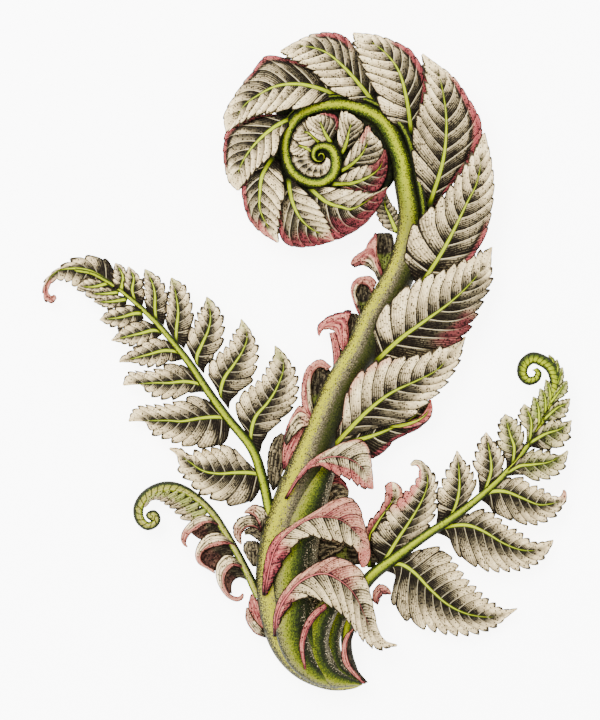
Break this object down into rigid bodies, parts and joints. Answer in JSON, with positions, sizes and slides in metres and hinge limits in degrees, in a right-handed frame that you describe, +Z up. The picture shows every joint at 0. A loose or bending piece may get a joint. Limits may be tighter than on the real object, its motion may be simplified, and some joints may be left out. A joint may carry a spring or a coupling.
{
  "type": "fern frond",
  "caption": "Lying fern frond: a coiled crozier with overlapping pinnae on a curved stem, side fronds, a young crozier and curled bracts around a sheathed foot.",
  "frame": {"origin": "the middle of the flat underside of the stem, about half way up the plant, where it rests on the surface", "axes": "+Y up the plant from the foot to the crozier, +X to the right as the plant is looked down on, +Z up from the surface"},
  "size_m": [0.2655, 0.3313, 0.0295],
  "materials": {
    "frond": "living stem and pinnae, yellow-green to dark green with cream blades",
    "leaf": "dull cream blade with dark hatching and a yellow-green midrib",
    "bract": "dull pink and cream bract",
    "shade": "dull grey-brown leaf"
  },
  "bodies": {
    "root": {"main_frond": "frond", "left_frond": "leaf", "right_frond": "leaf", "young_crozier": "bract", "upper_bract": "bract", "upper_back_leaf": "shade", "middle_bract": "bract", "middle_back_leaf": "shade", "lower_bract": "bract", "lower_strip": "bract", "foot_blade": "bract", "side_curl": "bract", "left_curl_upper": "bract", "left_curl_middle": "bract", "left_grey_leaf": "shade", "left_pouch": "bract", "stem_bract_1": "bract", "stem_bract_2": "bract", "stem_bract_3": "bract", "stem_bract_4": "bract", "stem_bract_5": "bract", "stem_bract_6": "shade"}
  },
  "joints": []
}
